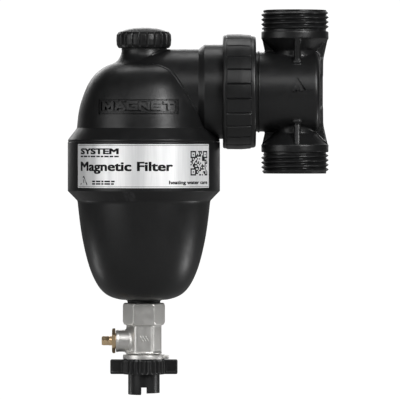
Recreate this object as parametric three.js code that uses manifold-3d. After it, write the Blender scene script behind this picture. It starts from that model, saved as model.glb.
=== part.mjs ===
// Magnetic system filter: a canister hung from a swivelling tee, with a withdrawable
// magnet stack under a screw cap and a capped drain cock at the bottom.
// Millimetres, +Z up. The origin is where the pipe line crosses the branch axis.

import * as THREE from 'three';
import { mergeVertices } from 'three/addons/utils/BufferGeometryUtils.js';
import Module from 'manifold-3d';

// ---- driving dimensions ------------------------------------------------------------

const GAP = 0.3; // clearance kept between pieces that touch
const ROUND = 28; // sides of a large round body
const SMALL_ROUND = 16; // sides of a small round piece

// G1 pipe threads on the two ports
const PORT_CREST = 16.75;
const PORT_ROOT = 15.3;
const PORT_PITCH = 2.309;
const PORT_END = 40; // height of each port's end face
const PORT_COLLAR = 16.5;
const PORT_COLLAR_LOW = 25.8;
const PORT_COLLAR_HIGH = 29.6;
const FRONT_RIB_SHIFT = 0.8; // the front and back gussets stand a little off centre
const PORT_NECK = 10;
const PORT_BORE = 12.3;
const PORT_NECK_BORE = 7.6;

// tee barrel and its spigot, along X
const BARREL = 19.5;
const BARREL_END = 11.8;
const BARREL_BORE = 14.8;
const WEB_END = 13.7;
const SPIGOT = 18.5;
const SPIGOT_END = -40;
const FLANGE = 23.4;
const FLANGE_LEFT = -26.2;
const FLANGE_RIGHT = -23.6;

// union nut, along X
const NUT = 28.2;
const NUT_LEFT = -35.3;
const NUT_RIGHT = -19.2;
const NUT_BORE = 24.2;
const NUT_SHOULDER = -22.1;
const NUT_HOLE = 20.1;
const NUT_GROOVES = 24;

// canister
const CAN_X = -74;
const BELT = 37.3;
const BELT_TOP = -24.4;
const BELT_LOW = -48.5;
const WALL = 3;
const BRANCH = 20.9;
const BRANCH_COLLAR = 23.1;
const BRANCH_BORE = 18.8;
const BRANCH_END = -26.6;
const NECK = 11.4;
const NECK_TOP = 20.2;
const NECK_BORE = 8.8;
const BOWL_BOTTOM = -101.9;
const LABEL_TOP = -25.6;
const LABEL_LOW = -46.8;
const LABEL_HALF_ANGLE = THREE.MathUtils.degToRad(58.5);

// magnet stack, on the canister axis
const SLEEVE = 7.3;
const SLEEVE_BORE = 6.4;
const SLEEVE_BOTTOM = -90;
const MAGNET = 5.6;
const ROD = 1.8;
const MAGNET_LENGTH = 15;
const POLE_LENGTH = 3;
const MAGNETS = 4;
const STACK_BOTTOM = -84;

// top cap
const CAP = 13.5;
const CAP_LOW = 21.4;
const CAP_HIGH = 29.5;
const CAP_TOP = 31.4;
const CAP_FLUTES = 22;
const PLUG = 8.3;
const PLUG_LOW = 12.6;

// drain cock, on the canister axis
const HEX_FLATS = 18;
const HEX_TOP = -103.4;
const HEX_LOW = -114.2;
const COCK = 8.65;
const COCK_LOW = -128.3;
const SPINDLE_Z = -122;
const TAIL_LOW = -136.4;
const WHEEL = 11;
const WING = 16.5;
const WHEEL_TOP = -131.1;
const WHEEL_LOW = -138.3;
const WHEEL_FLUTES = 27;
const KEY = 7.75;
const KEY_LOW = -148.3;
const KEY_SLOT = 2.7;

// ---- solids ------------------------------------------------------------------------

const wasm = await Module();
wasm.setup();

function signedVolume(positions, index) {
  const a = new THREE.Vector3();
  const b = new THREE.Vector3();
  const c = new THREE.Vector3();
  let sum = 0;
  for (let i = 0; i < index.length; i += 3) {
    a.fromArray(positions, index[i] * 3);
    b.fromArray(positions, index[i + 1] * 3);
    c.fromArray(positions, index[i + 2] * 3);
    sum += a.dot(b.cross(c));
  }
  return sum;
}

// A closed three.js geometry as a solid that can be joined and cut.
function solid(geometry) {
  const plain = (geometry.index ? geometry.toNonIndexed() : geometry).clone();
  plain.deleteAttribute('normal');
  plain.deleteAttribute('uv');
  const merged = mergeVertices(plain, 1e-4);
  const source = merged.index.array;
  const index = [];
  for (let i = 0; i < source.length; i += 3) {
    const [a, b, c] = [source[i], source[i + 1], source[i + 2]];
    if (a !== b && b !== c && c !== a) index.push(a, b, c);
  }
  const positions = merged.attributes.position.array;
  if (signedVolume(positions, index) < 0) index.reverse();
  return new wasm.Manifold(new wasm.Mesh({
    numProp: 3,
    vertProperties: new Float32Array(positions),
    triVerts: new Uint32Array(index),
  }));
}

function geometryOf(body) {
  const mesh = body.getMesh();
  const geometry = new THREE.BufferGeometry();
  geometry.setAttribute('position', new THREE.BufferAttribute(new Float32Array(mesh.vertProperties), 3));
  geometry.setIndex(new THREE.BufferAttribute(new Uint32Array(mesh.triVerts), 1));
  return geometry;
}

// A body of revolution about Z from [radius, height] points; it starts and ends on the
// axis, or closes on itself when ring is true.
function turned(points, { sides = ROUND, ring = false } = {}) {
  const outline = points.map(([r, z]) => new THREE.Vector2(r, z));
  if (ring) outline.push(outline[0].clone());
  const geometry = new THREE.LatheGeometry(outline, sides);
  geometry.rotateX(Math.PI / 2);
  return solid(geometry);
}

function disc(radius, low, high, sides = ROUND) {
  return turned([[0, low], [radius, low], [radius, high], [0, high]], { sides });
}

function ringOf(inner, outer, low, high, sides = ROUND) {
  const points = [[inner, low], [outer, low], [outer, high], [inner, high]];
  return turned(points, { sides, ring: true });
}

function block(x, y, z, width, depth, height) {
  return solid(new THREE.BoxGeometry(width, depth, height).translate(x, y, z));
}

// A prism along Z from [x, y] points.
function prism(points, low, high) {
  const shape = new THREE.Shape(points.map(([x, y]) => new THREE.Vector2(x, y)));
  const geometry = new THREE.ExtrudeGeometry(shape, { depth: high - low, bevelEnabled: false });
  return solid(geometry.translate(0, 0, low));
}

function moved(body, x, y, z) {
  return body.translate([x, y, z]);
}

// Puts a body made about Z on the canister's axis.
function onAxis(body) {
  return moved(body, CAN_X, 0, 0);
}

// Lays a body made about Z along X, with its top towards +X.
function alongX(body) {
  return body.rotate([0, 90, 0]);
}

function flutedOutline(radius, depth, flutes, stepsPerFlute) {
  const points = [];
  const steps = flutes * stepsPerFlute;
  for (let i = 0; i < steps; i += 1) {
    const angle = (i / steps) * 2 * Math.PI;
    const r = radius - depth * 0.5 * (1 - Math.cos(angle * flutes));
    points.push([r * Math.cos(angle), r * Math.sin(angle)]);
  }
  return points;
}

// A cylinder with a helical thread, faded out at both ends, from low to high along Z.
function threaded({ crest, root, pitch, low, high, sides = 20, rowsPerPitch = 3 }) {
  const rows = Math.round(((high - low) / pitch) * rowsPerPitch);
  const positions = [0, 0, low];
  for (let row = 0; row <= rows; row += 1) {
    const z = low + ((high - low) * row) / rows;
    const fade = Math.min(1, (z - low) / pitch + 0.2, (high - z) / (0.6 * pitch) + 0.1);
    for (let side = 0; side < sides; side += 1) {
      const turn = side / sides;
      const phase = ((((z - low) / pitch - turn) % 1) + 1) % 1;
      const r = root + (crest - root) * fade * (1 - Math.abs(2 * phase - 1));
      positions.push(r * Math.cos(turn * 2 * Math.PI), r * Math.sin(turn * 2 * Math.PI), z);
    }
  }
  positions.push(0, 0, high);
  const top = positions.length / 3 - 1;
  const index = [];
  const at = (row, side) => 1 + row * sides + (side % sides);
  for (let side = 0; side < sides; side += 1) {
    index.push(0, at(0, side + 1), at(0, side));
    index.push(top, at(rows, side), at(rows, side + 1));
    for (let row = 0; row < rows; row += 1) {
      index.push(at(row, side), at(row, side + 1), at(row + 1, side + 1));
      index.push(at(row, side), at(row + 1, side + 1), at(row + 1, side));
    }
  }
  const geometry = new THREE.BufferGeometry();
  geometry.setAttribute('position', new THREE.BufferAttribute(new Float32Array(positions), 3));
  geometry.setIndex(index);
  return solid(geometry);
}

// ---- looks -------------------------------------------------------------------------

function material(color, roughness, metalness) {
  return new THREE.MeshStandardMaterial({ color, roughness, metalness });
}

const NYLON = material(0x232425, 0.45, 0);
const NICKEL = material(0x9a9994, 0.3, 1);
const BRASS = material(0xc79a4b, 0.3, 1);
const RUBBER = material(0x141414, 0.8, 0);
const STEEL = material(0x8c8f92, 0.35, 1);
const MAGNETIC = material(0x6f7276, 0.25, 1);
const WHITE = material(0xe6e4dc, 0.5, 0);
const LABEL = material(0xc9cbcc, 0.35, 0.8);

const filter = new THREE.Group();
filter.name = 'magnetic_system_filter';

function add(name, body, look) {
  const mesh = new THREE.Mesh(geometryOf(body), look);
  mesh.name = name;
  filter.add(mesh);
}

// ---- tee ---------------------------------------------------------------------------

// Everything solid of the port that points up: neck, cone, collar and thread.
function portSolid() {
  const neck = turned([
    [0, 0], [PORT_NECK, 0], [PORT_NECK, 20], [15.5, 25.6], [PORT_COLLAR, PORT_COLLAR_LOW + 0.3],
    [PORT_COLLAR, PORT_COLLAR_HIGH], [PORT_ROOT, PORT_COLLAR_HIGH], [PORT_ROOT, 30.5], [0, 30.5],
  ], { sides: 24 });
  const thread = threaded({
    crest: PORT_CREST, root: PORT_ROOT, pitch: PORT_PITCH, low: 29.9, high: PORT_END,
  });
  return neck.add(thread);
}

function portHollow() {
  return turned([
    [0, 0], [PORT_NECK_BORE, 0], [PORT_NECK_BORE, 21.5], [PORT_BORE, 27.5],
    [PORT_BORE, PORT_END + 1], [0, PORT_END + 1],
  ], { sides: 24 });
}

// One gusset under the port collar, standing out along +X from the port axis.
function portRib() {
  const outline = [[8, 12], [13.7, 12], [13.7, 14], [16.3, 26.5], [8, 26.5]];
  const rib = prism(outline, -1.3, 1.3);
  return rib.rotate([90, 0, 0]);
}

function teeBody() {
  const outer = alongX(turned([
    [0, SPIGOT_END], [17.9, SPIGOT_END], [SPIGOT, SPIGOT_END + 0.8], [SPIGOT, FLANGE_LEFT],
    [FLANGE, FLANGE_LEFT], [FLANGE, FLANGE_RIGHT], [BARREL, FLANGE_RIGHT],
    [BARREL, BARREL_END - 2.2], [BARREL - 0.7, BARREL_END - 0.7], [BARREL - 2.2, BARREL_END],
    [0, BARREL_END],
  ]));
  let body = outer;
  for (const up of [0, 180]) {
    const port = portSolid().rotate([up, 0, 0]);
    body = body.add(port);
    for (let side = 0; side < 4; side += 1) {
      const shift = side % 2 === 0 ? 0 : FRONT_RIB_SHIFT;
      const rib = portRib().rotate([0, 0, side * 90]).rotate([up, 0, 0]);
      body = body.add(moved(rib, shift, 0, 0));
    }
  }
  const web = block(WEB_END - 2, 0, 0, 4, 2.8, 31);
  body = body.add(web);
  const ringGroove = alongX(ringOf(16.6, 20, -34.6, -31.8));
  const chamber = alongX(disc(BARREL_BORE, SPIGOT_END - 1, BARREL_END - 3.3));
  body = body.subtract(ringGroove).subtract(chamber);
  body = body.subtract(portHollow()).subtract(portHollow().rotate([180, 0, 0]));
  return body;
}

// Insert that keeps the two ports apart: the upper port feeds the space around the inner
// pipe, and the inner pipe drains into the lower port.
const INNER_PIPE = 7.2;
const INNER_PIPE_BORE = 5.9;
const INNER_PIPE_LEFT = -60;

function flowDiverter() {
  const radius = BARREL_BORE - GAP;
  const plate = block(-3.4, 0, 0, 22.4, 28.4, 2);
  const wall = alongX(disc(radius, -14.6, -12.6)).intersect(block(-13, 0, -20, 6, 60, 42));
  const pipe = alongX(disc(INNER_PIPE, INNER_PIPE_LEFT, -5, 24));
  const bore = alongX(disc(INNER_PIPE_BORE, INNER_PIPE_LEFT - 1, -6.4, 24));
  const outlet = block(-3, 0, -11, 19, 2 * INNER_PIPE_BORE, 20);
  return plate.add(wall).add(pipe).subtract(bore).subtract(outlet);
}

function unionNut() {
  const half = (NUT_LEFT + NUT_RIGHT) / 2;
  let nut = alongX(turned([
    [NUT_BORE + 0.6, NUT_LEFT], [NUT - 1, NUT_LEFT], [NUT - 0.3, NUT_LEFT + 0.8], [NUT, half],
    [NUT - 0.3, NUT_RIGHT - 1.6], [NUT - 1.2, NUT_RIGHT - 0.5], [NUT_HOLE, NUT_RIGHT],
    [NUT_HOLE, NUT_SHOULDER], [NUT_BORE, NUT_SHOULDER], [NUT_BORE, NUT_LEFT + 0.6],
  ], { ring: true, sides: NUT_GROOVES }));
  for (let i = 0; i < NUT_GROOVES; i += 1) {
    const groove = block(-29, 0, NUT + 0.1, 11.5, 0.6, 1);
    nut = nut.subtract(groove.rotate([(i + 0.25) * (360 / NUT_GROOVES), 0, 0]));
  }
  return nut;
}

add('tee_body', teeBody(), NYLON);
add('flow_diverter', flowDiverter(), WHITE);
add('union_o_ring', alongX(ringOf(16.9, 18.5, -34.3, -32.1, 24)), RUBBER);
add('union_slip_ring', alongX(ringOf(NUT_HOLE, 23.4, -23.3, -22.4, 24)), WHITE);
add('union_nut', unionNut(), NYLON);

// ---- canister ----------------------------------------------------------------------

const DOME = [
  [32.8, -17.6], [31.7, -8.8], [29.2, 0], [27.1, 4.4], [24, 8.8], [20.2, 11.8],
  [17.3, 13.2], [14.6, 14.3], [12.7, 16.2],
];

const BOWL = [
  [31.8, -60.3], [29.7, -75], [28, -82.3], [25.5, -89.7], [23.2, -94.1], [21.2, -97],
  [17.7, -100], [12.9, -101.4],
];

function upperBody() {
  const shell = turned([
    [0, BELT_TOP + 0.15], [BELT, BELT_TOP + 0.15], [BELT, -23.5], ...DOME, [NECK, 19.1],
    [NECK, NECK_TOP], [0, NECK_TOP],
  ]);
  const skirt = ringOf(30.6, 33.2, -40, -20);
  const branch = alongX(turned([
    [0, -76], [19.8, -76], [20.3, -74], [20.7, -71], [BRANCH, -68], [BRANCH, -47], [BRANCH_COLLAR, -44.5], [BRANCH_COLLAR, -34.6],
    [23.7, -34], [23.7, -27.4], [22.6, BRANCH_END], [0, BRANCH_END],
  ]));
  const inner = DOME.slice(0, 6).map(([r, z]) => [r - WALL, z - (z > 0 ? 1.6 : 0)]);
  const hollow = turned([
    [0, -41], [30.6, -41], [30.6, -20], ...inner, [12, 8.6], [0, 8.6],
  ], { sides: 24 });
  const shape = moved(shell.add(skirt), CAN_X, 0, 0).add(branch);
  const neckHole = turned([[0, 0], [7.6, 0], [7.6, 9.8], [NECK_BORE, 9.8], [NECK_BORE, 22], [0, 22]],
    { sides: 24 });
  const branchHole = alongX(disc(BRANCH_BORE, -61.5, BRANCH_END + 1));
  const seatCut = disc(12, NECK_TOP, NECK_TOP + 5, 24);
  return shape
    .subtract(moved(seatCut, CAN_X, 0, 0))
    .subtract(moved(hollow, CAN_X, 0, 0))
    .subtract(branchHole)
    .subtract(moved(neckHole, CAN_X, 0, 0));
}

// A slice of a ring about the canister axis, centred on the front.
function frontSlice(inner, outer, low, high, halfAngle) {
  const points = [];
  const steps = 14;
  for (let i = 0; i <= steps; i += 1) {
    const angle = -Math.PI / 2 - halfAngle + (2 * halfAngle * i) / steps;
    points.push([outer * Math.cos(angle), outer * Math.sin(angle)]);
  }
  for (let i = steps; i >= 0; i -= 1) {
    const angle = -Math.PI / 2 - halfAngle + (2 * halfAngle * i) / steps;
    points.push([inner * Math.cos(angle), inner * Math.sin(angle)]);
  }
  return prism(points, low, high);
}

function lowerBody() {
  const outer = turned([
    [0, BELT_TOP - 0.15], [BELT, BELT_TOP - 0.15], [BELT, BELT_LOW], [32.9, -53.1], ...BOWL,
    [8.1, BOWL_BOTTOM], [8.1, HEX_TOP + GAP], [0, HEX_TOP + GAP],
  ]);
  const inner = BOWL.slice(0, 6).map(([r, z]) => [r - WALL, z + (z < -85 ? 2 : 0)]);
  const hollow = turned([
    [0, -20], [33.6, -20], [33.6, -40.5], [30, -41.2], ...inner, [11, -97], [9.5, -92], [0, -92],
  ], { sides: 24 });
  const drain = disc(7.1, -110, -80, SMALL_ROUND);
  const recess = frontSlice(BELT - 0.65, BELT + 2, LABEL_LOW - GAP, LABEL_TOP + GAP,
    LABEL_HALF_ANGLE + 0.008);
  const sealGroove = ringOf(32, 36.3, -26.4, -24);
  return onAxis(outer.subtract(hollow).subtract(drain).subtract(recess).subtract(sealGroove));
}

// Down-pipe around the magnet sleeve, with the socket that takes the inner pipe.
function separatorTube() {
  const outside = turned([[0, -62], [13.5, -62], [13.5, 6], [11, 8], [0, 8]], { sides: 24 });
  const inside = disc(11.7, -63, 4.5, 24);
  const socket = alongX(disc(8.9, -61.1, -50.5, 24));
  const socketBore = alongX(disc(INNER_PIPE + GAP, CAN_X, -50, 24));
  const sleeveHole = disc(SLEEVE + GAP, 0, 20, SMALL_ROUND);
  return moved(outside, CAN_X, 0, 0)
    .add(socket)
    .subtract(moved(inside, CAN_X, 0, 0))
    .subtract(socketBore)
    .subtract(moved(sleeveHole, CAN_X, 0, 0));
}

// Ring of slanted blades that sets the water spinning on its way down.
function swirlBaffle() {
  let baffle = ringOf(13.8, 15.4, -40, -26, 24);
  for (let i = 0; i < 8; i += 1) {
    const blade = moved(block(21.6, 0, 0, 14.4, 1.4, 12).rotate([35, 0, 0]), 0, 0, -33);
    baffle = baffle.add(blade.rotate([0, 0, i * 45]).intersect(ringOf(14, 29.6, -40, -26, 24)));
  }
  return moved(baffle, CAN_X, 0, 0);
}

function magnetSleeve() {
  return moved(turned([
    [0, SLEEVE_BOTTOM], [6.5, SLEEVE_BOTTOM], [SLEEVE, SLEEVE_BOTTOM + 0.8], [SLEEVE, 10.1],
    [8.5, 10.1], [8.5, 11.6], [SLEEVE_BORE, 11.6], [SLEEVE_BORE, SLEEVE_BOTTOM + 1],
    [0, SLEEVE_BOTTOM + 1],
  ], { sides: 24 }), CAN_X, 0, 0);
}

add('upper_body', upperBody(), NYLON);
add('lower_body', lowerBody(), NYLON);
add('body_seal', onAxis(ringOf(33.9, 36, -26.1, -24.85)), RUBBER);
add('label_plate', onAxis(frontSlice(BELT - 0.35, BELT, LABEL_LOW, LABEL_TOP, LABEL_HALF_ANGLE)), LABEL);
add('separator_tube', separatorTube(), WHITE);
add('inner_pipe_seal', alongX(ringOf(INNER_PIPE + GAP, 9, -50.2, -49, 20)), RUBBER);
add('swirl_baffle', swirlBaffle(), WHITE);
add('magnet_sleeve', magnetSleeve(), STEEL);

// ---- magnet stack and top cap ------------------------------------------------------

function magnetRod() {
  return onAxis(turned([
    [0, STACK_BOTTOM - 3], [ROD, STACK_BOTTOM - 3], [ROD, 17], [2.6, 17], [2.6, 18.4], [0, 18.4],
  ], { sides: 20 }));
}

function rodNut() {
  const nut = disc(4, STACK_BOTTOM - 2.6, STACK_BOTTOM - GAP, 6);
  return onAxis(nut.subtract(disc(ROD + GAP, -200, 0, 20)));
}

function topCap() {
  const knob = prism(flutedOutline(CAP, 0.7, CAP_FLUTES, 2), CAP_LOW, CAP_HIGH);
  const barrel = turned([
    [0, CAP_LOW], [12.6, CAP_LOW], [13.3, CAP_LOW + 1.2], [CAP, 25.4], [13.3, CAP_HIGH - 1.2],
    [12.5, CAP_HIGH], [0, CAP_HIGH],
  ]);
  const top = turned([[0, 29], [11.6, 29], [9.5, 31], [5, CAP_TOP], [0, CAP_TOP]], { sides: 22 });
  const plug = threaded({
    crest: PLUG, root: 7.2, pitch: 3, low: PLUG_LOW, high: CAP_LOW + 0.5, sides: 16,
  });
  const socket = turned([
    [0, 0], [ROD + GAP, 0], [ROD + GAP, 16.7], [2.9, 16.7], [2.9, 18.7], [0, 18.7],
  ], { sides: 20 });
  return onAxis(knob.intersect(barrel).add(top).add(plug).subtract(socket));
}

add('sleeve_o_ring', onAxis(ringOf(6.8, 8.4, 11.9, 12.3, SMALL_ROUND)), RUBBER);
add('magnet_rod', magnetRod(), STEEL);
add('magnet_rod_nut', rodNut(), STEEL);
let level = STACK_BOTTOM;
for (let i = 0; i <= MAGNETS; i += 1) {
  const pole = ringOf(ROD + GAP, MAGNET, level, level + POLE_LENGTH - GAP, SMALL_ROUND);
  add(`pole_disc_${i + 1}`, onAxis(pole), STEEL);
  level += POLE_LENGTH;
  if (i < MAGNETS) {
    const magnet = ringOf(ROD + GAP, MAGNET, level, level + MAGNET_LENGTH - GAP, SMALL_ROUND);
    add(`magnet_${i + 1}`, onAxis(magnet), MAGNETIC);
    level += MAGNET_LENGTH;
  }
}
add('top_cap_seal', onAxis(ringOf(8.7, 11, 20.5, 21.1, SMALL_ROUND)), RUBBER);
add('top_cap', topCap(), NYLON);

// ---- drain cock --------------------------------------------------------------------

function hexPrism(flats, low, high) {
  const across = flats / 2 / Math.cos(Math.PI / 6);
  const points = [];
  for (let i = 0; i < 6; i += 1) {
    const angle = (i / 6) * 2 * Math.PI;
    points.push([across * Math.cos(angle), across * Math.sin(angle)]);
  }
  return prism(points, low, high);
}

function drainCock() {
  const rounding = turned([
    [0, HEX_LOW], [9.7, HEX_LOW], [10.5, HEX_LOW + 0.8], [10.5, HEX_TOP - 0.8], [9.7, HEX_TOP],
    [0, HEX_TOP],
  ], { sides: 24 });
  const hex = hexPrism(HEX_FLATS, HEX_LOW, HEX_TOP).intersect(rounding);
  const stub = disc(6.8, HEX_TOP - 1, -96, SMALL_ROUND);
  const lower = hexPrism(2 * COCK * Math.cos(Math.PI / 6), COCK_LOW, HEX_LOW + 1)
    .add(disc(COCK * 0.93, COCK_LOW, HEX_LOW + 1, SMALL_ROUND));
  const boss = moved(alongX(disc(5.55, -13.7, 0, SMALL_ROUND)), 0, 0, SPINDLE_Z);
  const way = disc(3.6, -140, -90, 24);
  const chamber = disc(6.1, COCK_LOW - 1, SPINDLE_Z + 7.4, 24);
  const spindleBore = moved(alongX(disc(2.6, -20, 0, 24)), 0, 0, SPINDLE_Z);
  const glandBore = moved(alongX(disc(4.2, -20, -10, 24)), 0, 0, SPINDLE_Z);
  return onAxis(hex.add(stub).add(lower).add(boss)
    .subtract(way).subtract(chamber).subtract(spindleBore).subtract(glandBore));
}

// Screwed tail below the ball: it holds the lower seat and carries the cap's thread.
function drainTail() {
  const flange = disc(9.3, -130.2, COCK_LOW - GAP, 24);
  const insert = disc(5.8, -129, -127.6, 24);
  const thread = threaded({
    crest: 8.33, root: 7.49, pitch: 1.337, low: TAIL_LOW, high: -130, sides: 16,
  });
  return onAxis(flange.add(insert).add(thread).subtract(disc(3.6, -140, -120, 24)));
}

function seat(low, high, dished) {
  const cup = new THREE.SphereGeometry(5.9, 20, 12).translate(0, 0, SPINDLE_Z);
  const ring = ringOf(3.7, dished, low, high, 24);
  return onAxis(ring.subtract(solid(cup)));
}

function drainBall() {
  const ball = solid(new THREE.SphereGeometry(5.6, 20, 12).translate(0, 0, SPINDLE_Z));
  const bore = moved(disc(3.3, -10, 10, 24).rotate([90, 0, 0]), 0, 0, SPINDLE_Z);
  const slot = block(-5.2, 0, SPINDLE_Z, 2.4, 1.8, 14);
  return onAxis(ball.subtract(bore).subtract(slot));
}

function drainSpindle() {
  const shaft = alongX(disc(2.3, -17, -5.9, 24));
  const tang = block(-5.3, 0, 0, 1.4, 1.2, 4);
  const square = block(-18.2, 0, 0, 5, 3.3, 3.3).rotate([45, 0, 0]);
  return onAxis(moved(shaft.add(tang).add(square), 0, 0, SPINDLE_Z));
}

function glandNut() {
  const hexEnd = alongX(hexPrism(10.6, -15.6, -14).rotate([0, 0, 90]));
  const screw = alongX(disc(3.9, -14.5, -11.6, 24));
  const hole = alongX(disc(2.6, -20, 0, 24));
  return onAxis(moved(hexEnd.add(screw).subtract(hole), 0, 0, SPINDLE_Z));
}

// Thin ring under the flange with an eye on its right-hand side.
function retainingRing() {
  const ring = ringOf(8.7, 10.3, -130.8, -130.5, 24).add(ringOf(9.6, 10.3, -130.8, -128.8, 24));
  const ear = block(11, 0, -129.9, 2.6, 3.4, 2);
  return onAxis(ring.add(ear.subtract(disc(9.7, -140, -120, 24))));
}

function drainCap() {
  const fluted = prism(flutedOutline(WHEEL, 0.6, WHEEL_FLUTES, 2), WHEEL_LOW, WHEEL_TOP);
  const rounded = turned([
    [0, WHEEL_LOW], [WING - 1.2, WHEEL_LOW], [WING - 0.35, WHEEL_LOW + 0.35], [WING, WHEEL_LOW + 1.2],
    [WING, WHEEL_TOP], [0, WHEEL_TOP],
  ]);
  const wings = block(0, 0, (WHEEL_LOW + WHEEL_TOP) / 2, 2 * WING, 5, WHEEL_TOP - WHEEL_LOW);
  const key = disc(KEY, KEY_LOW, WHEEL_LOW + 1, 24);
  const slot = block(0, 0, KEY_LOW, KEY_SLOT, 40, 7.4);
  const socket = disc(8.7, WHEEL_LOW + 0.6, WHEEL_TOP + 1, 28);
  return onAxis(fluted.add(wings.intersect(rounded)).add(key).subtract(slot).subtract(socket));
}

add('drain_cock_body', drainCock(), NICKEL);
add('drain_stub_seal', onAxis(ringOf(7.1, 8, -103.3, -103.2, SMALL_ROUND)), RUBBER);
add('drain_tail', drainTail(), NICKEL);
add('upper_ball_seat', seat(-118.4, -114.9, 5.8), WHITE);
add('lower_ball_seat', seat(-127.3, -125.6, 5.8), WHITE);
add('drain_ball', drainBall(), NICKEL);
add('drain_spindle', drainSpindle(), BRASS);
const packing = alongX(ringOf(2.6, 3.9, -11.3, -10.3, 24));
add('spindle_packing', onAxis(moved(packing, 0, 0, SPINDLE_Z)), RUBBER);
add('spindle_gland_nut', glandNut(), BRASS);
add('cap_retaining_ring', retainingRing(), NICKEL);
add('drain_cap_washer', onAxis(ringOf(2.5, 8.3, -137.4, -136.7, SMALL_ROUND)), RUBBER);
add('drain_cap', drainCap(), NYLON);

export default filter;
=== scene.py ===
from functools import reduce
from itertools import cycle
from math import atan2, ceil, cos, degrees, hypot, pi, radians, sin, tan

import bmesh
import bpy
import numpy as np
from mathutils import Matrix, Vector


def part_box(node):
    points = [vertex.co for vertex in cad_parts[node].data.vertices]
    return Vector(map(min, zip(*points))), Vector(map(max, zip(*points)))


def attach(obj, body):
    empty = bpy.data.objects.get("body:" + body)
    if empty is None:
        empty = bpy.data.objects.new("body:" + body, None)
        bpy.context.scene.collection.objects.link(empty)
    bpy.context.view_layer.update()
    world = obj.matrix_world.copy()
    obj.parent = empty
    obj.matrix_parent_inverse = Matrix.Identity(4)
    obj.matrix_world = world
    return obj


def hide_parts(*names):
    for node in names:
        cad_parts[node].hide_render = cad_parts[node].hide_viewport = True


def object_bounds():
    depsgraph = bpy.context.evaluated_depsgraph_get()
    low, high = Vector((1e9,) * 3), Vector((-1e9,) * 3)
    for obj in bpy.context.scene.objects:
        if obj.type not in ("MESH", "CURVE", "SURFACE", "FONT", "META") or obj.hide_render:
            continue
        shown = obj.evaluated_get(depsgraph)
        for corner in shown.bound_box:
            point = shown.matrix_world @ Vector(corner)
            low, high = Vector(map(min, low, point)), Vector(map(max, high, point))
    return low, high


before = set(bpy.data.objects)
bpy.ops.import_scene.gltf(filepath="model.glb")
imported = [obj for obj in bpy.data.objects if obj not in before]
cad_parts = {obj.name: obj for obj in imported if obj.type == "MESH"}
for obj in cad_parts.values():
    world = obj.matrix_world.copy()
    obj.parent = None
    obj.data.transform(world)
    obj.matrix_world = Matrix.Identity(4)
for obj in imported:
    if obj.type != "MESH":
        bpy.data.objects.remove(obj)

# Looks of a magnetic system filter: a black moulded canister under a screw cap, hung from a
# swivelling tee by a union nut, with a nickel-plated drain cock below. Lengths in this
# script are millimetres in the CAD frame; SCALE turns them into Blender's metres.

import openvdb
from mathutils import Matrix, Vector

CAD_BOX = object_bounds()
SCALE = 0.001
ROUND = 144  # segments round a large body
SMALL_ROUND = 72  # segments round a small one
TAU = 2 * pi


def box(node):
    """Lowest and highest corner of a CAD node, in millimetres."""
    low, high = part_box(node)
    return low / SCALE, high / SCALE


# ---- places and sizes read from the frame ----

TEE_LOW, TEE_HIGH = box("tee_body")
NUT_LOW, NUT_HIGH = box("union_nut")
UPPER_HIGH = box("upper_body")[1]
LOWER_LOW, LOWER_HIGH = box("lower_body")
LABEL_LOW, LABEL_HIGH = box("label_plate")
CAP_LOW, CAP_HIGH = box("top_cap")
WHEEL_LOW, WHEEL_HIGH = box("drain_cap")
SLEEVE_LOW = box("magnet_sleeve")[0]

AXIS = (LOWER_LOW.x + LOWER_HIGH.x) / 2  # the canister's vertical axis
BELT = (LOWER_HIGH.x - LOWER_LOW.x) / 2
SEAM = LOWER_HIGH.z
NUT = (NUT_HIGH.z - NUT_LOW.z) / 2
PORT_END = TEE_HIGH.z
LABEL_HALF = BELT * radians(58.5)  # half the label's length round the belt
FOIL_OUT = BELT - 0.02
INK_IN, INK_OUT = FOIL_OUT - 0.05, FOIL_OUT + 0.015


# ---- mesh tools ----

def in_scene(name, data):
    """A new object for the given data, linked into the scene."""
    holder = bpy.data.objects.new(name, data)
    bpy.context.scene.collection.objects.link(holder)
    return holder


def piece_from(points, faces):
    mesh = bpy.data.meshes.new("piece")
    mesh.from_pydata([tuple(p * SCALE for p in point) for point in points], [], faces)
    ready = bmesh.new()
    ready.from_mesh(mesh)
    bmesh.ops.recalc_face_normals(ready, faces=ready.faces)
    ready.to_mesh(mesh)
    ready.free()
    return in_scene("piece", mesh)


def rounded(corners, ring, steps=5):
    """(r, z) points of an outline whose corners may carry a fillet as a third number."""
    outline = []
    count = len(corners)
    for i, corner in enumerate(corners):
        here = Vector(corner[:2])
        fillet = corner[2] if len(corner) > 2 else 0
        if not fillet or (not ring and i in (0, count - 1)):
            outline.append(tuple(here))
            continue
        back = (Vector(corners[i - 1][:2]) - here).normalized()
        on = (Vector(corners[(i + 1) % count][:2]) - here).normalized()
        half = back.angle(on) / 2
        reach = fillet / tan(half)
        centre = here + (back + on).normalized() * (fillet / sin(half))
        start = here + back * reach - centre
        turn = start.angle_signed(here + on * reach - centre)
        for step in range(steps + 1):
            angle = -turn * step / steps
            spun = Vector((start.x * cos(angle) - start.y * sin(angle),
                           start.x * sin(angle) + start.y * cos(angle)))
            outline.append(tuple(centre + spun))
    return outline


def refined(outline, spacing, ring):
    """The outline with extra points, so that no step is longer than spacing."""
    fine = []
    ends = list(zip(outline, outline[1:] + outline[:1] if ring else outline[1:]))
    for (r0, z0), (r1, z1) in ends:
        steps = max(1, ceil(hypot(r1 - r0, z1 - z0) / spacing))
        for step in range(steps):
            t = step / steps
            fine.append((r0 + (r1 - r0) * t, z0 + (z1 - z0) * t))
    return fine if ring else fine + [outline[-1]]


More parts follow.
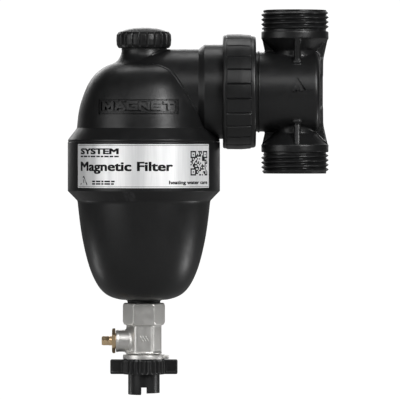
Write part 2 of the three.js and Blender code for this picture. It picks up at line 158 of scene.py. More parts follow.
def revolved(corners, segments=SMALL_ROUND, ring=False, spacing=None, shape=None):
    """A closed body of revolution about Z. shape(angles, r, z) may change the radius."""
    outline = rounded(corners, ring)
    if spacing:
        outline = refined(outline, spacing, ring)
    angles = np.arange(segments) * TAU / segments
    points, rows, faces = [], [], []
    for r, z in outline:
        if r < 1e-6:
            rows.append([len(points)] * segments)
            points.append((0.0, 0.0, z))
            continue
        radii = shape(angles, r, z) if shape else np.full(segments, r)
        rows.append(list(range(len(points), len(points) + segments)))
        points += list(zip(radii * np.cos(angles), radii * np.sin(angles), [z] * segments))
    for low, high in zip(rows, rows[1:] + rows[:1] if ring else rows[1:]):
        for i in range(segments):
            j = (i + 1) % segments
            face = tuple(dict.fromkeys((low[i], low[j], high[j], high[i])))  # a triangle at a pole
            if len(face) > 2:
                faces.append(face)
    return piece_from(points, faces)


def disc(radius, low, high, segments=SMALL_ROUND, fillet=0):
    corners = [(0, low), (radius, low, fillet), (radius, high, fillet), (0, high)]
    return revolved(corners, segments)


def ring_of(inner, outer, low, high, fillet=0.2, segments=SMALL_ROUND):
    """A ring about Z with all four edges rounded."""
    corners = [(inner, low, fillet), (outer, low, fillet), (outer, high, fillet), (inner, high, fillet)]
    return revolved(corners, segments, ring=True)


def between(lower, upper):
    """The solid between two matching outlines."""
    count = len(lower)
    faces = [tuple(range(count))[::-1], tuple(range(count, 2 * count))]
    faces += [(i, (i + 1) % count, count + (i + 1) % count, count + i) for i in range(count)]
    return piece_from(lower + upper, faces)


def prism(outline, low, high):
    """A straight prism along Z over an (x, y) outline."""
    return between([(x, y, low) for x, y in outline], [(x, y, high) for x, y in outline])


def hexagon(radius, low, high):
    return prism([(radius * cos(i * TAU / 6), radius * sin(i * TAU / 6)) for i in range(6)], low, high)


def block(x, y, z, width, depth, height):
    """A box round its middle."""
    corners = ((-1, -1), (1, -1), (1, 1), (-1, 1))
    outline = [(x + i * width / 2, y + j * depth / 2) for i, j in corners]
    return prism(outline, z - height / 2, z + height / 2)


def wrapped(outline, inner, outer):
    """A small prism bent round the canister's front: outline is (arc length, z) at radius outer."""
    return between(*[[bent(radius, along / outer, z) for along, z in outline] for radius in (inner, outer)])


def bent(radius, angle, z):
    """The point at an angle to the right of the canister's front."""
    return radius * sin(angle), -radius * cos(angle), z


def wrapped_box(left, right, low, high, inner, outer, step=1.2):
    """A bar bent round the canister's front, cut into short steps so that it follows it."""
    steps = max(1, ceil((right - left) / step))
    points = []
    for i in range(steps + 1):
        angle = (left + (right - left) * i / steps) / outer
        points += [bent(radius, angle, z) for radius, z in (
            (inner, low), (outer, low), (outer, high), (inner, high))]
    last = 4 * steps
    faces = [(3, 2, 1, 0), (last, last + 1, last + 2, last + 3)]
    for i in range(steps):
        a = 4 * i
        faces += [(a + k, a + (k + 1) % 4, a + 4 + (k + 1) % 4, a + 4 + k) for k in range(4)]
    return piece_from(points, faces)


def turned(piece, angle, axis):
    piece.data.transform(Matrix.Rotation(radians(angle), 4, axis))
    return piece


def moved(piece, x=0.0, y=0.0, z=0.0):
    piece.data.transform(Matrix.Translation((x * SCALE, y * SCALE, z * SCALE)))
    return piece


def on_axis(piece):
    return moved(piece, x=AXIS)


def along_x(piece):
    """Lays a piece made about Z along X, with its top towards +X."""
    return turned(piece, 90, "Y")


def evaluated(piece):
    """The piece's mesh with its modifiers applied."""
    bpy.context.view_layer.update()
    ready = piece.evaluated_get(bpy.context.evaluated_depsgraph_get())
    return bpy.data.meshes.new_from_object(ready)


def applied(piece):
    mesh = evaluated(piece)
    piece.modifiers.clear()
    piece.data = mesh
    return piece


def combined(piece, others, operation):
    """piece joined with, cut by or kept inside the others in turn, which are used up."""
    for other in others:
        modifier = piece.modifiers.new("combine", "BOOLEAN")
        modifier.operation = operation
        modifier.solver = "MANIFOLD"
        modifier.object = other
        applied(piece)
        bpy.data.objects.remove(other)
        if not len(piece.data.polygons):
            raise RuntimeError(f"nothing is left after {operation}")
    return piece


def join(piece, *others):
    return combined(piece, others, "UNION")


def cut(piece, *others):
    return combined(piece, others, "DIFFERENCE")


def keep(piece, *others):
    return combined(piece, others, "INTERSECT")


def bevelled(piece, width):
    modifier = piece.modifiers.new("bevel", "BEVEL")
    modifier.width = width * SCALE
    modifier.segments = 3
    modifier.limit_method = "ANGLE"
    modifier.angle_limit = radians(35)
    return applied(piece)


def shaded(piece, angle=32):
    """Smooth shading, with edges sharper than angle kept crisp."""
    mesh = piece.data
    mesh.polygons.foreach_set("use_smooth", [True] * len(mesh.polygons))
    ready = bmesh.new()
    ready.from_mesh(mesh)
    bmesh.ops.remove_doubles(ready, verts=ready.verts, dist=1e-7)
    limit = radians(angle)
    for edge in ready.edges:
        edge.smooth = len(edge.link_faces) == 2 and edge.calc_face_angle(0) < limit
    ready.to_mesh(mesh)
    ready.free()
    return piece


def finished(piece, name, look, body, *nodes, angle=32):
    """Names, shades, paints and mounts a finished piece, which stands in for the CAD nodes."""
    material, slot = look
    piece.name = piece.data.name = name
    shaded(piece, angle)
    piece.data.materials.clear()
    piece.data.materials.append(material)
    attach(piece, body)
    if nodes:
        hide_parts(*nodes)


# ---- smooth bodies from distance fields ----

class Field:
    """A distance field on a grid, in millimetres: negative inside."""

    def __init__(self, low, high, voxel):
        self.low, self.voxel = low, voxel
        axes = [np.arange(a, b + voxel, voxel, dtype=np.float32) for a, b in zip(low, high)]
        self.x, self.y, self.z = np.meshgrid(*axes, indexing="ij", sparse=True)
        self.d = np.full([len(a) for a in axes], 1e3, np.float32)

    def mesh(self):
        grid = openvdb.FloatGrid(1e3)
        grid.copyFromArray(self.d)
        points, _, quads = grid.convertToPolygons(isovalue=0.0, adaptivity=0.0)
        points = points * self.voxel + np.array(self.low)
        return piece_from(points.tolist(), quads.tolist())


def blend_min(a, b, k):
    """Union of two fields with a fillet of about k."""
    h = np.maximum(k - np.abs(a - b), 0) / k
    return np.minimum(a, b) - h * h * k / 4


def blend_max(a, b, k):
    return -blend_min(-a, -b, k)


def field_capped(sides, fillet):
    """Distance to a body bounded by the given sides, with rounded edges."""
    sides = [side + fillet for side in sides]
    outside = np.sqrt(sum(np.maximum(side, 0) ** 2 for side in sides))
    return outside + np.minimum(reduce(np.maximum, sides), 0) - fillet


def field_box(x, y, z, half, fillet=0.0):
    return field_capped([np.abs(a) - h for a, h in zip((x, y, z), half)], fillet)


def field_cylinder(radial, along, radius, half, fillet=0.0):
    return field_capped([radial - radius, np.abs(along) - half], fillet)


def field_polygon(x, y, outline):
    """Distance to a closed outline in the plane."""
    best, inside = np.inf, False
    for (ax, ay), (bx, by) in zip(outline, outline[1:] + outline[:1]):
        ex, ey = bx - ax, by - ay
        wx, wy = x - ax, y - ay
        t = np.clip((wx * ex + wy * ey) / (ex * ex + ey * ey), 0, 1)
        best = np.minimum(best, (wx - ex * t) ** 2 + (wy - ey * t) ** 2)
        above, below = ay <= y, by > y
        side = ex * wy - ey * wx
        inside = inside ^ ((above & below & (side > 0)) | (~above & ~below & (side < 0)))
    return np.where(inside, -1, 1) * np.sqrt(best)


# ---- materials ----

class Paint:
    """A node material: colour patches, roughness detail, fine bump and worn edges."""

    def __init__(self, name, colour, roughness, metallic=0.0, specular=0.5):
        self.material = bpy.data.materials.new(name)
        self.material.use_nodes = True
        self.tree = self.material.node_tree
        self.new, self.link = self.tree.nodes.new, self.tree.links.new
        self.shader = self.tree.nodes["Principled BSDF"]
        self.shader.inputs["Metallic"].default_value = metallic
        self.shader.inputs["Specular IOR Level"].default_value = specular
        self.place = self.new("ShaderNodeTexCoord").outputs["Object"]
        self.colour = self.new("ShaderNodeRGB").outputs[0]
        self.colour.default_value = (*colour, 1)
        self.roughness = roughness
        self.bump = None

    def node(self, kind, **inputs):
        node = self.new(kind)
        for name, value in inputs.items():
            socket = node.inputs[name.replace("_", " ")]
            if isinstance(value, bpy.types.NodeSocket):
                self.link(value, socket)
            else:
                socket.default_value = value
        return node

    def noise(self, size, detail=3.0, stretch=None):
        """Noise whose grains are about size millimetres across."""
        place = self.place
        if stretch:
            place = self.node("ShaderNodeMapping", Vector=place, Scale=stretch).outputs[0]
        grain = self.node("ShaderNodeTexNoise", Vector=place, Scale=1 / (size * SCALE), Detail=detail)
        return grain.outputs["Fac"]

    def ranged(self, value, low, high, start=0.3, end=0.7):
        return self.node("ShaderNodeMapRange", Value=value, From_Min=start, From_Max=end,
                         To_Min=low, To_Max=high).outputs["Result"]

    def tint(self, amount, colour):
        """Mixes colour in by a share that a socket gives."""
        mix = self.new("ShaderNodeMix")
        mix.data_type = "RGBA"
        self.link(amount, mix.inputs[0])
        self.link(self.colour, mix.inputs[6])
        mix.inputs[7].default_value = (*colour, 1)
        self.colour = mix.outputs[2]

    def patches(self, colour, share, *noise, start=0.3, end=0.7):
        self.tint(self.ranged(self.noise(*noise), 0.0, share, start, end), colour)
        return self

    def worn(self, colour, share):
        """Lightens convex edges a little, broken up by noise."""
        edge = self.new("ShaderNodeNewGeometry").outputs["Pointiness"]
        both = self.new("ShaderNodeMath")
        both.operation = "MULTIPLY"
        self.link(self.ranged(self.noise(2.5), 0.0, share, 0.35, 0.65), both.inputs[0])
        self.link(self.ranged(edge, 0.0, 1.0, 0.52, 0.62), both.inputs[1])
        self.tint(both.outputs[0], colour)
        return self

    def rough(self, spread, *noise):
        self.roughness = self.ranged(self.noise(*noise), self.roughness - spread, self.roughness + spread)
        return self

    def grain(self, strength, height, *noise):
        bump = self.node("ShaderNodeBump", Height=self.noise(*noise), Strength=strength,
                         Distance=height * SCALE)
        if self.bump:
            self.link(self.bump, bump.inputs["Normal"])
        self.bump = bump.outputs[0]
        return self

    def done(self, slot):
        """The material and the name of its slot."""
        self.link(self.colour, self.shader.inputs["Base Color"])
        self.link(self.roughness, self.shader.inputs["Roughness"])
        if self.bump:
            self.link(self.bump, self.shader.inputs["Normal"])
        return self.material, slot


def metal(name, colour, roughness, slot):
    """Steel with a brushed grain."""
    return (
        Paint(name, colour, roughness, metallic=1.0).patches(tuple(0.75 * c for c in colour), 0.4, 5)
        .rough(0.06, 0.5, 4, (1, 1, 8)).grain(0.12, 0.03, 0.25, 2, (1, 1, 10)).done(slot)
    )


NYLON = (
    Paint("black_nylon", (0.0062, 0.0063, 0.0065), 0.36, specular=0.34)
    .patches((0.0095, 0.0097, 0.01), 0.5, 14)
    .patches((0.014, 0.0142, 0.0145), 0.3, 0.5, 2, start=0.45, end=0.8)
    .worn((0.05, 0.05, 0.052), 0.5).rough(0.05, 5)
    .grain(0.12, 0.05, 0.35, 4).grain(0.10, 0.3, 9, 2).done("black_nylon")
)
NICKEL = (
    Paint("satin_nickel", (0.7, 0.69, 0.665), 0.42, metallic=1.0)
    .patches((0.64, 0.63, 0.605), 0.35, 6).worn((0.85, 0.84, 0.81), 0.4)
    .rough(0.04, 2.5, 3).grain(0.03, 0.02, 0.6, 2).done("nickel")
)
BRASS = (
    Paint("machined_brass", (0.93, 0.7, 0.43), 0.34, metallic=1.0)
    .patches((0.78, 0.54, 0.3), 0.3, 2.5).worn((0.97, 0.8, 0.56), 0.5)
    .rough(0.06, 0.6).grain(0.15, 0.03, 0.25, 2, (6, 1, 1)).done("brass")
)
STEEL = metal("stainless_steel", (0.5, 0.51, 0.53), 0.32, "steel")
MAGNETIC = metal("plated_magnet", (0.62, 0.62, 0.63), 0.18, "magnet")
RUBBER = (
    Paint("black_rubber", (0.012, 0.012, 0.012), 0.72, specular=0.35)
    .patches((0.022, 0.022, 0.022), 0.5, 2).rough(0.08, 1.2).grain(0.2, 0.03, 0.2, 3).done("rubber")
)
WHITE = (
    Paint("natural_plastic", (0.68, 0.66, 0.6), 0.48, specular=0.45)
    .patches((0.6, 0.57, 0.5), 0.4, 8).rough(0.06, 3).grain(0.1, 0.04, 0.4, 3).done("white_plastic")
)
# silver foil, with broad soft streaks running up and down
FOIL = (
    Paint("silver_foil", (0.7, 0.705, 0.71), 0.4, metallic=0.3)
    .patches((0.93, 0.93, 0.93), 0.9, 8, 2, (1, 1, 0.04), start=0.38, end=0.62)
    .patches((0.55, 0.555, 0.56), 0.2, 0.6, 2, (1, 1, 0.05))
    .rough(0.08, 0.3, 2, (1, 1, 0.05)).grain(0.12, 0.02, 0.25, 2, (1, 1, 0.03)).done("label")
)
INK = (
    Paint("black_ink", (0.006, 0.006, 0.007), 0.55, specular=0.2)
    .patches((0.0172, 0.0172, 0.0194), 0.3, 0.5).rough(0.05, 1).done("label")
)


# ---- threads ----

def threaded(root, crest, pitch, low, high, segments=SMALL_ROUND, chamfer=0.4):
    """A rod with a right-hand helical thread that fades out at both ends."""
    def shape(angles, r, z):
        if r < root - 0.01:
            return np.full(len(angles), r)
        fade = max(0.0, min(1.0, (z - low) / pitch, (high - z) / (0.7 * pitch)))
        phase = ((z - low) / pitch - angles / TAU) % 1
        ridge = np.clip(1.35 * (1 - np.abs(2 * phase - 1)) - 0.12, 0, 1)
        return root + (crest - root) * fade * ridge

    corners = [(0, low), (root - chamfer, low), (root, low + chamfer), (root, high), (0, high)]
    return revolved(corners, segments, spacing=pitch / 10, shape=shape)


# ---- tee ----

BARREL = 19.5
BARREL_END = 11.8
COLLAR = 16.45
COLLAR_LOW, COLLAR_HIGH = 25.8, 29.6
PORT_ROOT, PORT_PITCH = 15.3, 2.309
PORT_BORE, NECK_BORE = 12.3, 7.6
THREAD_CREST = TEE_HIGH.x - 0.03
SPIGOT = 18.5
RIB_SHIFT = 0.8  # the front and back gussets stand a little off centre


def tee_shell():
    """Barrel, necks, cones, gussets and end web of the tee, as one smooth moulding."""
    field = Field((-19.5, -21.5, -30.5), (18.5, 21.5, 30.5), 0.41)
    x, y, z = field.x, field.y, field.z
    middle = (BARREL_END - 30) / 2
    barrel = field_cylinder(np.sqrt(y * y + z * z), x - middle, BARREL, (BARREL_END + 30) / 2, 2.4)
    up = np.abs(z)
    radial = np.sqrt(x * x + y * y)
    port = field_polygon(radial, up, [
        (-8, 0), (10, 0), (10, 20.2), (15.7, 25.6), (COLLAR, COLLAR_LOW + 0.2), (COLLAR, COLLAR_HIGH - 0.3),
        (COLLAR - 0.3, COLLAR_HIGH), (-8, COLLAR_HIGH),
    ])
    body = blend_min(barrel, port, 0.6)
    body = np.minimum(body, np.maximum(barrel, port) - 0.32)  # fine bead along the saddle lines
    body = blend_min(body, gusset(y, x, up), 0.7)
    body = blend_min(body, gusset(x - RIB_SHIFT, y, up), 0.7)
    foot = field_box(x - RIB_SHIFT, np.abs(y) - 13.4, up - 14.4, (1.9, 1.5, 0.9), 0.6)
    body = blend_min(body, foot, 0.5)
    web = field_box(x - (BARREL_END + 0.2), y, z, (1.7, 1.35, 16.4), 0.6)
    body = blend_min(body, web, 0.8)
    field.d = body.astype(np.float32)
    return field.mesh()


def gusset(across, along, up):
    """Thin rib from the barrel to the port collar."""
    outline = field_polygon(np.abs(along) + 0 * up, up + 0 * along, [
        (0, 8), (13.5, 8), (13.7, 15), (16.2, 26.4), (0, 26.4),
    ])
    return blend_max(outline + 0 * across, np.abs(across) - 1.3 + 0 * outline, 0.7)


def flow_arrow():
    """Cutter for the triangle on the front of the barrel, with short dashes at its foot."""
    outer = prism([(-3.2, 0.4), (1.0, 6.9), (5.2, 0.4)], 15, 24)
    inner = prism([(-1.75, 0.2), (1.0, 4.6), (3.75, 0.2)], 14, 25)
    arrow = cut(outer, inner)
    for i in range(4):
        arrow = join(arrow, block(1.35 * i - 1.0, 0.25, 19.5, 0.8, 1.3, 9))
    return cut(turned(arrow, 90, "X"), along_x(disc(BARREL - 0.9, -12, 12, 200)))


def arrow_bead():
    """Fine raised line inside the engraved triangle."""
    outer = prism([(-1.75, 0.2), (1.0, 4.6), (3.75, 0.2)], 15, 24)
    bead = cut(outer, prism([(-0.95, 0.0), (1.0, 3.3), (2.95, 0.0)], 14, 25))
    return keep(turned(bead, 90, "X"), along_x(disc(BARREL + 0.2, -12, 12, 200)))


def port_hollow():
    return revolved([
        (0, 0), (NECK_BORE, 0), (NECK_BORE, 21.5, 3), (PORT_BORE, 27.5, 3), (PORT_BORE, PORT_END - 0.8),
        (PORT_BORE + 0.8, PORT_END), (PORT_BORE + 0.8, PORT_END + 1), (0, PORT_END + 1),
    ], 96)


def tee_body():
    body = tee_shell()
    spigot = revolved([
        (0, TEE_LOW.x), (SPIGOT - 0.8, TEE_LOW.x), (SPIGOT, TEE_LOW.x + 0.8), (SPIGOT, -34.6),
        (16.6, -34.6),
        (16.6, -31.8), (SPIGOT, -31.8), (SPIGOT, -26.2), (23.4, -26.2, 0.4), (23.4, -23.6, 0.4),
        (BARREL, -23.6), (BARREL, -18.6), (0, -18.6),
    ], ROUND)
    bead = ring_of(18, BARREL + 0.45, -18.3, -17.3, 0.4, ROUND)  # where the barrel leaves the nut
    body = join(body, along_x(spigot), along_x(bead))
    for up, start in ((0, 87), (180, -148)):
        thread = threaded(PORT_ROOT, THREAD_CREST, PORT_PITCH, 29, PORT_END, 128, 0.5)
        body = join(body, turned(turned(thread, start, "Z"), up, "X"))
        relief = ring_of(PORT_ROOT, 20, COLLAR_HIGH, COLLAR_HIGH + 0.9, 0, 96)
        body = cut(body, turned(relief, up, "X"))
    body = cut(body, along_x(disc(14.8, TEE_LOW.x - 1, BARREL_END - 3.3, 96)), flow_arrow())
    body = cut(join(body, arrow_bead()), port_hollow(), turned(port_hollow(), 180, "X"))
    finished(body, "tee", NYLON, "tee", "tee_body")


def flow_diverter():
    pipe = along_x(revolved([(0, -60), (7.2, -60, 0.5), (7.2, -5, 0.8), (0, -5)]))
    plate = bevelled(block(-3.4, 0, 0, 22.4, 28.4, 2), 0.4)
    wall = keep(along_x(disc(14.5, -14.6, -12.6)), block(-13, 0, -20, 6, 60, 42))
    body = cut(join(plate, wall, pipe), along_x(disc(5.9, -61, -6.4)), block(-3, 0, -11, 19, 11.8, 20))
    finished(body, "flow_diverter_insert", WHITE, "tee", "flow_diverter")


def union_nut():
    """Drafted nut whose crown carries raised pads with narrow grooves between them."""
    crown = (NUT_LOW.x + NUT_HIGH.x) / 2 + 0.9
    pad_left, pad_right = NUT_LOW.x + 2.0, NUT_HIGH.x - 2.6
    pads = 24

    def shape(angles, r, x):
        if r < NUT - 2.2 or not pad_left - 0.3 < x < pad_right + 0.3:
            return np.full(len(angles), r)
        ends = max(0.0, min(1.0, (x - pad_left + 0.3) / 0.3, (pad_right + 0.3 - x) / 0.3))
        away = np.abs((angles * pads / TAU) % 1 - 0.5) * TAU / pads * r
        return r + 0.33 * ends * np.clip((away - 0.25) / 0.22, -1.1, 1)

    def crown_at(x):
        """A point of the nut's drafted outside."""
        if x < crown:
            return NUT - 0.5 + 0.14 * (x - NUT_LOW.x) / (crown - NUT_LOW.x), x
        return NUT - 0.36 - 0.59 * (x - crown) / (NUT_HIGH.x - crown), x

    nut = revolved([
        (24.7, NUT_LOW.x, 0.2), (NUT - 0.5, NUT_LOW.x, 0.9), crown_at(pad_left - 0.3), crown_at(pad_left),
        crown_at(crown), crown_at(pad_right), crown_at(pad_right + 0.3), (NUT - 0.95, NUT_HIGH.x, 1.2),
        (20.1, NUT_HIGH.x, 0.2), (20.1, -22.1), (24.2, -22.1), (24.2, NUT_LOW.x + 0.6),
    ], pads * 26, ring=True, spacing=1.0, shape=shape)
    finished(along_x(nut), "union_nut_ring", NYLON, "nut", "union_nut", angle=35)


def union_small_parts():
    seal = along_x(ring_of(16.9, 18.5, -34.3, -32.1, 0.75, ROUND))
    finished(seal, "union_seal_ring", RUBBER, "tee", "union_o_ring")
    slip = along_x(ring_of(20.1, 23.4, -23.3, -22.4, 0.2, ROUND))
    finished(slip, "slip_ring_washer", WHITE, "slip_ring", "union_slip_ring")


# ---- canister ----

DOME = [
    (32.8, -17.4), (32.55, -15), (32.3, -12), (31.85, -8.8), (31.3, -6.6), (30.6, -4.4), (29.85, -2.2),
    (29.0, 0), (27.9, 2.9), (26.9, 4.6), (25.6, 6.6), (24.1, 8.6), (22.3, 10.4), (20, 11.9), (17.4, 13.1),
]
BOWL = [
    (32.5, -53.9), (32.2, -57), (31.75, -61), (31.1, -66.5), (30.3, -71.6), (29.2, -77), (27.7, -83),
    (26.6, -86.6), (25.2, -90.2), (23.5, -93.7), (21.8, -96.3), (20, -98.4), (17.6, -100.2), (14.8, -101.2),
    (12, -101.7),
]


def smooth_curve(points, steps=6):
    """A Catmull-Rom curve through the points."""
    fine = []
    ends = [points[0], *points, points[-1]]
    for i in range(1, len(ends) - 2):
        a, b, c, d = (Vector(ends[j]) for j in (i - 1, i, i + 1, i + 2))
        for step in range(steps):
            t = step / steps
            place = 0.5 * (2 * b + (c - a) * t + (2 * a - 5 * b + 4 * c - d) * t * t
                           + (3 * b - 3 * c + d - a) * t ** 3)
            fine.append(tuple(place))
    fine.append(points[-1])
    for _ in range(30):
        inner = [((a[0] + 2 * b[0] + c[0]) / 4, (a[1] + 2 * b[1] + c[1]) / 4)
                 for a, b, c in zip(fine, fine[1:], fine[2:])]
        fine = [fine[0], *inner, fine[-1]]
    return fine


def dome_curve(grow):
    """Outline of the dome's side; grow moves it outwards."""
    return [(r + grow, z) for r, z in smooth_curve(DOME, 4)]


def dome_solid(grow, neck_top):
    """Dome and neck without their hollow; grow thickens the wall outwards."""
    rim = BELT - 0.15
    corners = [(0, SEAM + 0.02), (rim, SEAM + 0.02, 0.25), (rim, SEAM + 1.1, 0.5), (32.85, -17.75, 0.25)]
    if grow:
        corners = [(0, -17), (32.8 + grow, -17)]
    neck = [(15.2, 13.75), (13.9, 14.5), (12.8, 15.5), (11.9, 16.8), (11.2, 18.2), (10.9, 19.6)]
    return revolved([
        *corners, *dome_curve(grow), *[(r + grow, z) for r, z in neck], (10.85 + grow, neck_top),
        (0, neck_top),
    ], 240)


def upper_body():
    neck_top = UPPER_HIGH.z - 0.7
    shell = dome_solid(0, neck_top)
    skirt = ring_of(30.6, 33.2, -40, SEAM + 2, 0.4, ROUND)
    branch = revolved([
        (0, -76), (19.8, -76), (20.3, -74), (20.7, -71), (20.9, -68), (20.9, -47.2, 0.8),
        (23.1, -44.4, 0.8), (23.1, -34.6, 0.3), (22.4, -34.2), (22.4, -33.6), (22.4, UPPER_HIGH.x),
        (0, UPPER_HIGH.x),
    ], 200)
    crease = keep(on_axis(dome_solid(0.5, neck_top)), along_x(revolved([
        (0, -70), (21.4, -70), (21.4, -47.6), (0, -47.6)], 200)))
    thread = along_x(threaded(22.4, 23.8, 2.309, -34, UPPER_HIGH.x - 0.1, 120, 0.4))
    branch = join(along_x(branch), thread)
    branch = cut(branch, on_axis(disc(12.2, neck_top, neck_top + 6, 96)))
    body = join(on_axis(join(shell, skirt)), branch, crease)
    inner = [(r - 3, z - (1.6 if z > 0 else 0)) for r, z in DOME[::2]]
    hollow = revolved([(0, -41), (30.6, -41), (30.6, -20), *inner, (12, 8.6), (0, 8.6)], 96)
    bore = revolved([(0, 0), (7.6, 0), (7.6, 9.8), (8.8, 9.8), (8.8, 24), (0, 24)])
    body = cut(body, on_axis(hollow), along_x(disc(18.8, -61.5, UPPER_HIGH.x + 1, 96)), on_axis(bore),
               on_axis(badge_frame()))
    body = join(body, on_axis(badge_marks()))
    finished(body, "dome_and_branch", NYLON, "canister", "upper_body", angle=28)


BADGE_LEFT, BADGE_RIGHT = -21.7, 17.1
BADGE_LOW, BADGE_HIGH = -11.2, -4.0


def badge_skin(grow):
    return revolved([(0, -17.4), *dome_curve(grow), (0, 13.1)], 240)


def front_slab(left, right, low, high):
    return block((left + right) / 2, -30, (low + high) / 2, right - left, 24, high - low)


def badge_frame():
    """Thin grooves round the badge, and its sunken field."""
    width = 0.5
    grooves = cut(join(*[front_slab(*sides) for sides in (
        (BADGE_LEFT, BADGE_RIGHT, BADGE_LOW, BADGE_LOW + width),
        (BADGE_LEFT, BADGE_RIGHT, BADGE_HIGH - width, BADGE_HIGH),
        (BADGE_LEFT, BADGE_LEFT + width, BADGE_LOW, BADGE_HIGH),
        (BADGE_RIGHT - width, BADGE_RIGHT, BADGE_LOW, BADGE_HIGH),
        (BADGE_LEFT, BADGE_RIGHT, BADGE_LOW + 1.0, BADGE_LOW + 1.3),
    )]), badge_skin(-1.0))
    field = front_slab(BADGE_LEFT + 1, BADGE_RIGHT - 1, BADGE_LOW + 1.6, BADGE_HIGH - 0.9)
    return join(grooves, cut(field, badge_skin(-0.8)))


LETTERS = {
    "M": [(0, 0, 0, 1), (0, 1, 0.5, 0.25), (0.5, 0.25, 1, 1), (1, 1, 1, 0)],
    "A": [(0, 0, 0.5, 1), (0.5, 1, 1, 0), (0.22, 0.3, 0.78, 0.3)],
    "G": [(1, 1, 0, 1), (0, 1, 0, 0), (0, 0, 1, 0), (1, 0, 1, 0.5), (1, 0.5, 0.55, 0.5)],
    "N": [(0, 0, 0, 1), (0, 1, 1, 0), (1, 0, 1, 1)],
    "E": [(0, 0, 0, 1), (0, 1, 1, 1), (0, 0.5, 0.9, 0.5), (0, 0, 1, 0)],
    "T": [(0, 1, 1, 1), (0.5, 1, 0.5, 0)],
}


def badge_marks():
    """A plain word in raised block letters inside the badge."""
    width, height, thick = 4.2, 3.0, 1.15
    low = BADGE_LOW + 2.7
    pitch = (BADGE_RIGHT - BADGE_LEFT - 3.4) / 6
    strokes = []
    for i, letter in enumerate("MAGNET"):
        left = BADGE_LEFT + 1.7 + pitch * i + (pitch - width) / 2
        for x0, z0, x1, z1 in LETTERS[letter]:
            strokes.append(bar_between(left + x0 * width, low + z0 * height,
                                       left + x1 * width, low + z1 * height, thick))
    return keep(join(*strokes), badge_skin(0.38))


def bar_between(x0, z0, x1, z1, thick):
    """A square-ended bar seen from the front, reaching from y = -40 to y = -20."""
    length = hypot(x1 - x0, z1 - z0)
    bar = block(0, -30, 0, length + thick * 0.8, 20, thick)
    bar = turned(bar, -degrees(atan2(z1 - z0, x1 - x0)), "Y")
    return moved(bar, (x0 + x1) / 2, 0, (z0 + z1) / 2)


def flat_words(words, left, low, height, width):
    """Generic words in the built-in letters, as a flat mesh fitted to a rectangle."""
    text = bpy.data.curves.new("words", "FONT")
    text.body = words
    text.resolution_u = 3
    carrier = in_scene("words", text)
    flat = evaluated(carrier)
    bpy.data.objects.remove(carrier)
    xs, ys = [v.co.x for v in flat.vertices], [v.co.y for v in flat.vertices]
    for v in flat.vertices:
        v.co.x = left + (v.co.x - min(xs)) / (max(xs) - min(xs)) * width
        v.co.y = low + (v.co.y - min(ys)) / (max(ys) - min(ys)) * height
    return flat


def raised_words(flat, place):
    """Gives flat letters a thickness; place says where (across, rise, outside or not) belongs."""
    ready = bmesh.new()
    ready.from_mesh(flat)
    bmesh.ops.remove_doubles(ready, verts=ready.verts, dist=1e-4)
    xs = [v.co.x for v in ready.verts]
    for i in range(1, ceil((max(xs) - min(xs)) / 1.1)):  # short steps, so that the print can bend
        everything = [*ready.verts, *ready.edges, *ready.faces]
        bmesh.ops.bisect_plane(ready, geom=everything, plane_co=(min(xs) + 1.1 * i, 0, 0),
                               plane_no=(1, 0, 0))
    skin = bmesh.ops.extrude_face_region(ready, geom=list(ready.faces))
    outside = {v for v in skin["geom"] if isinstance(v, bmesh.types.BMVert)}
    for v in ready.verts:
        v.co = Vector(place(v.co.x, v.co.y, v in outside)) * SCALE
    bmesh.ops.triangulate(ready, faces=ready.faces)
    bmesh.ops.recalc_face_normals(ready, faces=ready.faces)
    mesh = bpy.data.meshes.new("words")
    ready.to_mesh(mesh)
    ready.free()
    return in_scene("words", mesh)


def lower_body():
    top = LOWER_HIGH.z
    shell = revolved([
        (0, top), (BELT, top, 0.25), (BELT, -48.5, 0.5), (32.75, -53.2, 0.3), *smooth_curve(BOWL, 4),
        (8.9, -102), (8.1, -102.4), (8.1, LOWER_LOW.z, 0.2), (0, LOWER_LOW.z),
    ], 240)
    inner = [(r - 3, z + (2 if z < -85 else 0)) for r, z in BOWL[::2]]
    hollow = revolved([
        (0, -20), (33.6, -20), (33.6, -40.5), (30, -41.2), *inner[:-1], (11, -97), (9.5, -92), (0, -92),
    ], 96)
    reach = (LABEL_HALF + 0.2) * (BELT + 3) / BELT
    recess = wrapped_box(-reach, reach, LABEL_LOW.z - 0.3, LABEL_HIGH.z + 0.3, BELT - 0.6, BELT + 3, 0.8)
    body = cut(shell, hollow, disc(7.1, -110, -80), recess, ring_of(32, 36.3, -26.4, -24, 0, ROUND))
    finished(on_axis(body), "bowl_and_belt", NYLON, "canister", "lower_body", angle=28)


def label():
    """Silver foil plate on the belt, with generic print."""
    low, high = LABEL_LOW.z, LABEL_HIGH.z
    plate = wrapped_box(-LABEL_HALF, LABEL_HALF, low, high, BELT - 0.35, FOIL_OUT, 0.6)
    finished(on_axis(plate), "label_foil", FOIL, "canister", "label_plate")
    left, rim = -35.4, 0.55
    bars = [
        *heading("SYSTEM", left, high - 4.9, 2.9, 23.5, 0.3),
        *word_row(left, left + 23.5, high - 6.3, 0.7),
        *heading("Magnetic Filter", left, high - 14.4, 5.9, 50.2, 0.3),
        *word_row(left + 8.4, left + 21.4, low + 2.8, 0.75),
        *word_row(left + 8.4, left + 21.0, low + 1.6, 0.75),
        *heading("heating water care", 12.8, low + 1.3, 2.3, 23.8, 0.14),
        *caution_sign(left + 2.4, low + 1.5, 4.2),
        *check_block(24.7, high - 15.2, 11.9),
        printed(rim - LABEL_HALF, LABEL_HALF - rim, high - rim - 0.175, high - rim),
        printed(rim - LABEL_HALF, LABEL_HALF - rim, low + rim, low + rim + 0.175),
    ]
    with bpy.context.temp_override(active_object=bars[0], selected_editable_objects=bars):
        bpy.ops.object.join()
    finished(on_axis(bars[0]), "label_print", INK, "canister")


def printed(left, right, low, high):
    """A printed bar, a little proud of the foil."""
    return wrapped_box(left, right, low, high, INK_IN, INK_OUT, 0.8)


